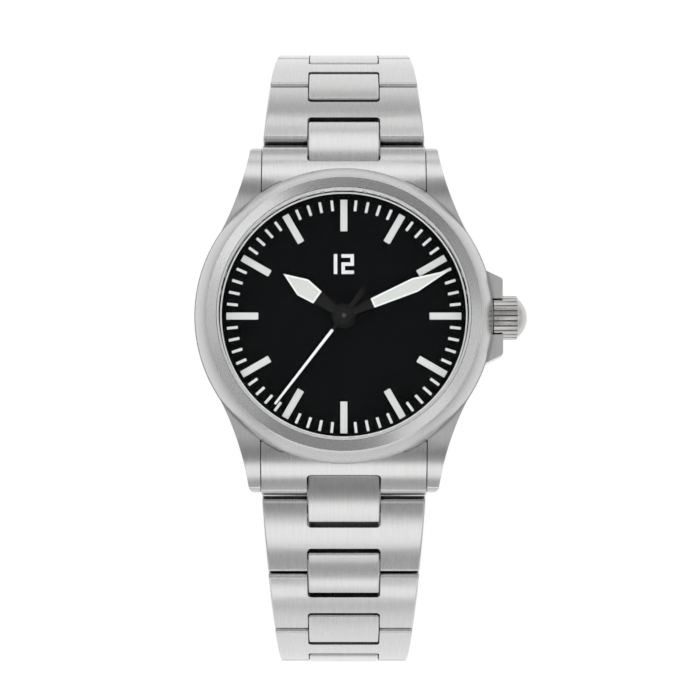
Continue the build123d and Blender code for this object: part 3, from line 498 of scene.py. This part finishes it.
# The crown's steel has shade painted into its colour in the flutes and gaps
crown_steel = plain_metal("crown_steel", (0.57, 0.565, 0.55), 0.30, 0.04, 2500.0, painted_shade_reach=0.35)
blued_steel = plain_metal("blued_steel", (0.05, 0.05, 0.055), 0.35, 0.06, 3000.0)
pin_steel = plain_metal("pin_steel", (0.62, 0.62, 0.61), 0.25, 0.06, 3000.0)
brass = plain_metal("brass", (0.78, 0.60, 0.30), 0.25, 0.06, 3000.0)
nickelled_plate = plain_metal("nickelled_plate", (0.70, 0.67, 0.60), 0.35, 0.06, 3500.0)
cell_steel = plain_metal("cell_steel", (0.74, 0.74, 0.72), 0.2, 0.05, 1500.0)
copper_wire = plain_metal("copper_wire", (0.72, 0.34, 0.17), 0.3, 0.15, 9000.0)
black_dial = paint("black_dial", (0.0028, 0.0030, 0.0034), 0.5, 0.25, 9000.0, 0.002, 0.02)
black_paint = paint("black_paint", (0.0035, 0.0035, 0.0035), 0.42, 0.2, 6000.0, 0.001, 0.12)
# Black for the thin ring on the groove's floor: painted shade
painted_groove_shade = paint("painted_groove_shade", (0.012, 0.012, 0.012), 0.6, 0.2, 6000.0, 0.001, 0.1)
# Pale paint on the steel lip: a painted reflection of the bright room
lip_painted_reflection = paint("lip_painted_reflection", (0.84, 0.84, 0.84), 0.4, 0.02, 5000.0, 0.001, 0.3)
# White paint standing in for the steel edge's glint: a painted highlight
painted_edge_highlight = paint("painted_edge_highlight", (0.80, 0.80, 0.80), 0.5, 0.02, 5000.0, 0.001, 0.3)
pale_seat = paint("pale_seat", (0.58, 0.59, 0.59), 0.4, 0.02, 5000.0, 0.001, 0.3)
white_paint = paint("white_paint", (0.90, 0.91, 0.91), 0.4, 0.02, 6000.0, 0.001, 0.3)
white_print = paint("white_print", (0.82, 0.83, 0.83), 0.55, 0.03, 12000.0, 0.001, 0.2)
lume_fill = paint("lume_fill", (0.74, 0.75, 0.74), 0.75, 0.04, 14000.0, 0.002, 0.1)
hand_lume = paint("hand_lume", (0.665, 0.685, 0.65), 0.8, 0.04, 14000.0, 0.002, 0.1)
pale_gasket = paint("pale_gasket", (0.62, 0.63, 0.64), 0.35, 0.04, 1500.0, 0.001, 0.4)
dark_plastic = paint("dark_plastic", (0.05, 0.05, 0.05), 0.5, 0.15, 5000.0, 0.003, 0.5)
sapphire = clear_glass("sapphire")


# Bezel, crystal, gaskets and rehaut


def make_bezel():
    """Brushed ring, a highlight line painted white on its sharp edge, and the pale ring over the gasket."""
    edge_z = bezel_top_z - bezel_edge_drop
    fall = bezel_edge_drop / (bezel_edge_r - bezel_bore_r)
    flank = arc((bezel_r, case_top_z + bezel_foot_h), (bezel_edge_r, edge_z), bezel_bulge, bezel_flank_steps)
    bore = [(bezel_bore_r, bezel_top_z), (bezel_bore_r, case_top_z)]
    ring = wind("bezel_ring", [(bezel_r, case_top_z)] + flank + bore)
    fit(close_piece(ring, 0.04), "watch_head", "brushed_case_steel", bezel_steel, "bezel")
    # A thin white ring on the bezel's sharp edge: a painted highlight line
    inner_r, outer_r = bezel_edge_r - highlight_line_w / 2, bezel_edge_r + highlight_line_w / 2
    line_z = edge_z - highlight_line_w
    line = wind("bezel_edge_line", [(outer_r, line_z), (outer_r, edge_z - highlight_line_drop),
                                    (inner_r, edge_z + fall * highlight_line_w / 2), (inner_r, line_z)])
    fit(close_piece(line, 0.0), "watch_head", "brushed_case_steel", painted_edge_highlight)
    low_z, high_z = gasket_top_z + seat_gap, bezel_top_z - seat_drop
    seat_outer_r = bezel_bore_r - seat_gap
    seat = wind("crystal_seat", [(seat_outer_r, low_z), (seat_outer_r, high_z), (seat_inner_r, high_z),
                                 (seat_inner_r, low_z)])
    fit(close_piece(seat, 0.03), "watch_head", "brushed_case_steel", pale_seat)


def make_crystal():
    radius = bezel_bore_r - gasket_w
    inner = radius - crystal_rim_w
    outline = [(inner, rehaut_top_z), (radius, rehaut_top_z), (radius, crystal_top_z - crystal_chamfer),
               (radius - crystal_chamfer, crystal_top_z), (inner, crystal_top_z)]
    deselect()
    bpy.ops.mesh.primitive_circle_add(vertices=round_sides, radius=inner * mm, fill_type="NGON",
                                      location=(0, 0, rehaut_top_z * mm))
    glass = open_piece("crystal_glass")
    for (r0, z0), (r1, z1) in zip(outline, outline[1:]):
        bpy.ops.mesh.extrude_region_move()
        bpy.ops.transform.resize(value=(r1 / r0, r1 / r0, 1), center_override=(0, 0, z0 * mm))
        move(0, 0, z1 - z0)
    fit(close_piece(glass, 0.01), "watch_head", "sapphire_glass", sapphire, "crystal")


def make_gaskets():
    inner = bezel_bore_r - gasket_w
    upper = wind("crystal_gasket", [(bezel_bore_r, rehaut_top_z), (bezel_bore_r, gasket_top_z),
                                    (inner, gasket_top_z), (inner, rehaut_top_z)])
    close_piece(upper, 0.08, 3)
    low, high = back_gasket_r - back_gasket_half_w, back_gasket_r + back_gasket_half_w
    top = back_gasket_bottom_z + back_gasket_h
    lower = wind("back_gasket", [(high, back_gasket_bottom_z), (high, top), (low, top),
                                 (low, back_gasket_bottom_z)])
    close_piece(lower, 0.18, 3)
    fit(joined(upper, [lower]), "watch_head", "gasket_rubber", pale_gasket, "crystal_and_back_gaskets")


def make_rehaut():
    """Polished band with a lip painted pale as a painted reflection, and between the lip and the crystal's
    seat a groove whose floor is a black ring of painted shade.
    """
    low_z = rehaut_top_z - groove_depth
    band = wind("rehaut_band", [(bezel_bore_r, dial_z), (bezel_bore_r, rehaut_top_z),
                                (groove_outer_r, rehaut_top_z), (groove_outer_r, low_z), (rehaut_r, low_z),
                                (rehaut_r, rehaut_top_z - rehaut_lip_h), (rehaut_foot_r, dial_z)])
    fit(close_piece(band, 0.02), "watch_head", "polished_steel", polished_steel, "rehaut_ring")
    lip_z = rehaut_top_z - lip_drop
    # The steel lip is painted pale: a painted reflection
    lip = wind("rehaut_lip", [(groove_inner_r, low_z), (groove_inner_r, lip_z), (rehaut_r, lip_z),
                              (rehaut_r, low_z)])
    fit(close_piece(lip, 0.03), "watch_head", "polished_steel", lip_painted_reflection)
    # A thin black ring on the groove's floor: painted shade in the groove
    floor = wind("rehaut_groove", [(groove_outer_r, low_z), (groove_outer_r, low_z + groove_floor_t),
                                   (groove_inner_r, low_z + groove_floor_t), (groove_inner_r, low_z)])
    fit(close_piece(floor, 0.0), "watch_head", "polished_steel", painted_groove_shade)


# Dial markers and hands


def make_markers():
    """One block of luminous paint, rounded on top and copied round the dial."""
    deselect()
    middle = marker_outer_r - marker_l / 2
    bpy.ops.mesh.primitive_cube_add(size=mm, location=(0, middle * mm, (dial_z + marker_t / 2) * mm))
    bpy.context.object.scale = (marker_w, marker_l, marker_t)
    block = open_piece("hour_marker_blocks")
    close_piece(block, 0.07, 3)
    copies = []
    for hour in range(1, 12):
        copy = block.copy()
        copy.data = block.data.copy()
        bpy.context.scene.collection.objects.link(copy)
        copy.rotation_euler = (0, 0, -radians(30 * hour))
        deselect()
        copy.select_set(True)
        bpy.context.view_layer.objects.active = copy
        bpy.ops.object.transform_apply(location=True, rotation=True, scale=True)
        copies.append(copy)
    fit(joined(block, copies), "watch_head", "lume", lume_fill, "hour_markers")


def draw_strip(name, stations, bottom):
    """A flat strip up the dial, from one distance and width to the next; a width of 0 ends in a point."""
    deselect()
    (d0, w0), (d1, w1) = stations[:2]
    bpy.ops.mesh.primitive_plane_add(size=mm, location=(0, (d0 + d1) / 2 * mm, bottom * mm))
    bpy.context.object.scale = (w0, d1 - d0, 1)
    strip = open_piece(name)
    pick(strip, "EDGE", lambda place: place.y > d1 - pick_slack)
    bpy.ops.transform.resize(value=(w1 / w0, 1, 1), center_override=(0, 0, 0))
    for (d0, w0), (d1, w1) in zip(stations[1:], stations[2:]):
        bpy.ops.mesh.extrude_region_move()
        move(0, d1 - d0, 0)
        if w1:
            bpy.ops.transform.resize(value=(w1 / w0, 1, 1), center_override=(0, 0, 0))
        else:
            bpy.ops.mesh.merge(type="CENTER")
    bpy.ops.mesh.select_mode(type="FACE")
    bpy.ops.mesh.select_all(action="SELECT")
    return strip


def raise_strip(thickness):
    bpy.ops.mesh.extrude_region_move()
    move(0, 0, thickness)


def turn_to(piece, angle):
    """Turns a finished hand piece clockwise from 12 and applies it."""
    deselect()
    piece.select_set(True)
    bpy.context.view_layer.objects.active = piece
    piece.rotation_euler = (0, 0, -radians(angle))
    bpy.ops.object.transform_apply(location=True, rotation=True, scale=True)


def make_hand(word, body, stations, stem_w, hub_r, bore_r, bottom, angle):
    """White frame, its luminous filling, and the black stem with its hub."""
    frame_piece = draw_strip(word + "_hand_frame", stations, bottom)
    bpy.ops.mesh.inset(thickness=hand_frame_w * mm, depth=0)
    bpy.ops.mesh.separate(type="SELECTED")
    bpy.ops.mesh.select_all(action="SELECT")
    raise_strip(hand_t)
    close_piece(frame_piece, 0.025)
    deselect()
    filling = [other for other in bpy.data.objects if other.name.startswith(word + "_hand_frame.")][0]
    filling.name = filling.data.name = word + "_hand_filling"
    filling.select_set(True)
    bpy.context.view_layer.objects.active = filling
    bpy.ops.object.mode_set(mode="EDIT")
    bpy.ops.mesh.select_all(action="SELECT")
    raise_strip(hand_t * filling_share)
    close_piece(filling, 0.05)

    start, start_w = stations[0]
    stem = draw_strip(word + "_hand_stem", [(hub_r * stem_start_share, stem_w), (start, start_w)], bottom)
    raise_strip(hand_t)
    close_piece(stem, 0.03)
    hub_top = bottom + hand_t + hub_rise
    hub = wind(word + "_hand_hub", [(hub_r, bottom), (hub_r, hub_top), (bore_r, hub_top), (bore_r, bottom)],
               hub_sides)
    close_piece(hub, 0.04)
    black = joined(stem, [hub])
    for piece in (frame_piece, filling, black):
        turn_to(piece, angle)
    fit(frame_piece, body, "hand_paint", white_paint, word + "_hand")
    fit(filling, body, "lume", hand_lume, word + "_hand_lume")
    fit(black, body, "hand_paint", black_paint)


def make_seconds_hand():
    """Painted needle, and the black root with its tail and hub."""
    needle_stations = [(seconds_root_l, 0.36), (seconds_hand_l, 0.28)]
    needle = draw_strip("seconds_hand_needle", needle_stations, seconds_hand_z)
    raise_strip(hand_t)
    close_piece(needle, 0.04)
    root_stations = [(-seconds_tail_l, 0.6), (0, 0.46), (seconds_root_l, 0.38)]
    root = draw_strip("seconds_hand_tail", root_stations, seconds_hand_z)
    raise_strip(hand_t - root_drop)
    close_piece(root, 0.04)
    hub_top = seconds_hand_z + hand_t + hub_rise
    hub = wind("seconds_hand_hub", [(seconds_hub_r, seconds_hand_z), (seconds_hub_r, hub_top),
                                    (seconds_bore_r, hub_top), (seconds_bore_r, seconds_hand_z)], hub_sides)
    close_piece(hub, 0.05)
    black = joined(root, [hub])
    for piece in (needle, black):
        turn_to(piece, seconds_hand_angle)
    fit(needle, "seconds_train", "hand_paint", white_paint, "seconds_hand")
    fit(black, "seconds_train", "hand_paint", black_paint)


# Crown


def make_crown():
    """Wound upright, fluted, then laid over to point away from the case."""
    knurl_end = crown_knurl_l
    outline = [(crown_r - crown_foot_in, 0.0), (crown_r, crown_foot_h), (crown_r, flute_start_z),
               (crown_r, knurl_end - flute_end_l), (crown_r - knurl_round_in, knurl_end - knurl_round_l),
               (crown_r - knurl_end_in, knurl_end)]
    dome_foot = crown_r - dome_foot_in
    dome_r = (dome_foot**2 + crown_dome_h**2) / (2 * crown_dome_h)
    for step in range(crown_dome_steps):
        height = crown_dome_h * (1 - (1 - step / crown_dome_steps) ** 2)
        radius = (dome_r**2 - (dome_r - crown_dome_h + height) ** 2) ** 0.5
        outline.append((radius, knurl_end + height))
    crown = wind("crown_knob", outline, crown_flutes * crown_flute_sides, closed=False)
    bpy.ops.mesh.poke()
    pick(crown, "VERT", lambda place: place.z < pick_slack)
    bpy.ops.mesh.edge_face_add()

    def in_groove(place):
        turn = atan2(place.y, place.x) / (2 * pi) * crown_flutes
        near = abs(turn - round(turn)) * crown_flute_sides < flute_half_sides
        fluted = crown_foot_h + flute_slack < place.z < knurl_end - knurl_round_l
        return near and fluted and hypot(place.x, place.y) > crown_r - flute_reach

    pick(crown, "VERT", in_groove)
    share = (crown_r - crown_flute_depth) / crown_r
    bpy.ops.transform.resize(value=(share, share, 1), center_override=(0, 0, 0))
    close_piece(crown, 0.0)
    crown.rotation_euler = (0, radians(90), 0)
    crown.location = (crown_x * mm, 0, crown_z * mm)
    bpy.ops.object.transform_apply(location=True, rotation=True, scale=True)
    fit(crown, "crown_and_stem", "brushed_case_steel", crown_steel, "crown")


make_bezel()
make_crystal()
make_gaskets()
make_rehaut()
make_markers()
make_hand("hour", "hour_train", hour_hand_stations, stem_w=1.0, hub_r=1.45, bore_r=0.95,
          bottom=hour_hand_z, angle=hour_hand_angle)
make_hand("minute", "minute_train", minute_hand_stations, stem_w=0.7, hub_r=1.2, bore_r=0.55,
          bottom=minute_hand_z, angle=minute_hand_angle)
make_seconds_hand()
make_crown()


# Finishes of the CAD pieces

finish_of_slot = {
    "brushed_case_steel": bracelet_steel,
    "polished_steel": polished_steel,
    "sapphire_glass": sapphire,
    "gasket_rubber": pale_gasket,
    "black_dial": black_dial,
    "lume": lume_fill,
    "white_print": white_print,
    "plastic_ring": dark_plastic,
    "nickelled_brass": nickelled_plate,
    "battery_steel": cell_steel,
    "copper_coil": copper_wire,
    "wheel_brass": brass,
    "hand_paint": white_paint,
}
finish_of_node = {
    "case_body": case_steel,
    "case_back": back_steel,
    "clasp_cover": clasp_steel,
    "clasp_outer_blade": clasp_steel,
    "clasp_inner_blade": clasp_steel,
    "push_button_crown_side": crown_steel,
    "push_button_far_side": crown_steel,
    "lug_spring_bars": pin_steel,
    "crown_tube": pin_steel,
    "winding_stem": pin_steel,
    "setting_lever": pin_steel,
    "seconds_wheel": blued_steel,
}
for entry in frame["record"]["subparts"]:
    name = entry["node"]
    finish = finish_of_node.get(name, finish_of_slot[entry["material_slot"]])
    for place in nodes[name].material_slots:
        place.material = finish


# Studio


def aim(light, azimuth, polar, distance):
    """Puts a lamp at an angle from 12 o'clock, clockwise, and from straight up, facing the watch."""
    a, p = radians(azimuth), radians(polar)
    light.location = (distance * sin(p) * sin(a), distance * sin(p) * cos(a), distance * cos(p))
    light.rotation_euler = (-p, 0, -a)


def softbox(name, azimuth, polar, distance, width, height, radiance):
    data = bpy.data.lights.new(name, "AREA")
    data.shape = "RECTANGLE"
    data.size = width
    data.size_y = height
    data.energy = radiance * pi * width * height
    light = bpy.data.objects.new(name, data)
    bpy.context.scene.collection.objects.link(light)
    aim(light, azimuth, polar, distance)
    light.visible_camera = False
    return light


# Azimuth and polar angle in degrees, distance, width and height in metres, radiance
softbox("key_over_ten", 321, 30, 0.9, 0.30, 0.30, 1.50)
softbox("key_over_four", 135, 30, 0.9, 0.28, 0.30, 1.20)
softbox("side_of_nine", 284, 30, 0.9, 0.34, 0.30, 0.72)
softbox("side_of_three", 94, 30, 0.9, 0.34, 0.30, 0.84)
softbox("small_box_past_the_crown", 90, 80, 0.9, 0.2, 0.2, 1.3)
softbox("low_side_of_eight", 242, 30, 0.9, 0.26, 0.30, 0.42)
softbox("low_side_of_two", 58, 30, 0.9, 0.26, 0.30, 0.30)
softbox("strip_at_six", 180, 57, 0.9, 1.3, 0.28, 0.95)
softbox("strip_at_twelve", 0, 62, 0.9, 1.3, 0.28, 0.95)
softbox("low_strip_at_six", 180, 88, 0.9, 1.3, 0.16, 0.95)
softbox("low_strip_at_twelve", 0, 80, 0.9, 1.3, 0.14, 0.80)
matt_fill = softbox("fill_for_paint_and_paper", 0, 0, 1.2, 1.2, 1.2, 1.26)
matt_fill.visible_glossy = False


def make_room():
    """Grey all round, with a darker band high up for the bezel's top, and lighter overhead."""
    world = bpy.data.worlds.new("studio_room")
    bpy.context.scene.world = world
    world.use_nodes = True
    tree = world.node_tree
    tree.nodes.clear()
    way = add(tree, "ShaderNodeTexCoord").outputs["Generated"]
    height = add(tree, "ShaderNodeSeparateXYZ", {"Vector": way}).outputs["Z"]
    ramp = add(tree, "ShaderNodeValToRGB", {"Fac": height})
    first, last = ramp.color_ramp.elements
    first.position, first.color = 0.0, (0.50, 0.50, 0.50, 1)
    last.position, last.color = 1.0, (0.60, 0.60, 0.60, 1)
    for position, level in ((0.30, 0.45), (0.64, 0.45), (0.79, 0.24), (0.93, 0.24), (0.975, 0.52)):
        ramp.color_ramp.elements.new(position).color = (level, level, level, 1)
    back = add(tree, "ShaderNodeBackground", {"Color": ramp.outputs["Color"]})
    add(tree, "ShaderNodeOutputWorld", {"Surface": back.outputs["Background"]})


def make_floor():
    """White paper whose own glow is a painted pool of light, white round the watch and greying further out;
    its own white keeps a soft shadow.
    """
    deselect()
    lowest = cad_box[0][2]
    bpy.ops.mesh.primitive_circle_add(vertices=floor_sides, radius=floor_r, fill_type="NGON",
                                      location=(0, 0, lowest - floor_gap))
    floor = bpy.context.object
    floor.name = "paper_floor"
    bpy.ops.object.transform_apply(location=True, rotation=True, scale=True)
    material, tree = new_finish("white_paper")
    place = object_place(tree)
    fibre = grain(tree, place, 40.0, 3.0, 0.5)
    moved = vector_math(tree, "SUBTRACT", place, (0.0, glow_pool_middle_y, 0.0)).outputs["Vector"]
    flat = vector_math(tree, "MULTIPLY", moved, (1.0, 1.0, 0.0)).outputs["Vector"]
    fading = {"Value": vector_math(tree, "LENGTH", flat).outputs["Value"], "From Min": glow_pool_r,
              "From Max": glow_fade_r, "To Min": 1.0, "To Max": glow_fade_level}
    far = add(tree, "ShaderNodeMapRange", fading, interpolation_type="SMOOTHSTEP").outputs["Result"]
    white = tones(tree, fibre, (0.93, 0.93, 0.93), (0.95, 0.95, 0.95))
    paper = add(tree, "ShaderNodeBsdfDiffuse", {"Color": white})
    # The glow's strength falls with distance from the watch: a painted pool of light
    strength = spread(tree, far, 0.0, glow_strength)
    glow = add(tree, "ShaderNodeEmission", {"Color": (1, 1, 1, 1), "Strength": strength})
    rays = add(tree, "ShaderNodeLightPath")
    seen = add(tree, "ShaderNodeMath", {0: rays.outputs["Is Camera Ray"], 1: rays.outputs["Is Glossy Ray"]},
               operation="MAXIMUM")
    seen = add(tree, "ShaderNodeMath", {0: seen.outputs[0], 1: rays.outputs["Is Transmission Ray"]},
               operation="MAXIMUM")
    share = add(tree, "ShaderNodeMath", {0: seen.outputs[0], 1: glow_share}, operation="MULTIPLY")
    mixed = add(tree, "ShaderNodeMixShader", {0: share.outputs[0], 1: paper.outputs["BSDF"],
                                              2: glow.outputs["Emission"]})
    end_with(tree, mixed.outputs["Shader"])
    floor.data.materials.append(material)


def make_camera():
    """Over the dial, leaning to the 6 o'clock side."""
    distance = camera_distance * mm
    frame_width = picture_px / px_per_mm * mm
    data = bpy.data.cameras.new("camera")
    data.sensor_width = 36
    data.lens = data.sensor_width * distance / frame_width
    middle = picture_px / 2
    data.shift_x = (middle - dial_middle_px[0]) / picture_px
    data.shift_y = -(middle - dial_middle_px[1]) / picture_px
    data.clip_start = 0.01
    camera = bpy.data.objects.new("camera", data)
    bpy.context.scene.collection.objects.link(camera)
    camera.location = (0, -distance * sin(camera_lean), dial_z * mm + distance * cos(camera_lean))
    camera.rotation_euler = (camera_lean, 0, 0)
    bpy.context.scene.camera = camera


make_room()
make_floor()
make_camera()
bpy.context.scene.view_settings.view_transform = "Standard"
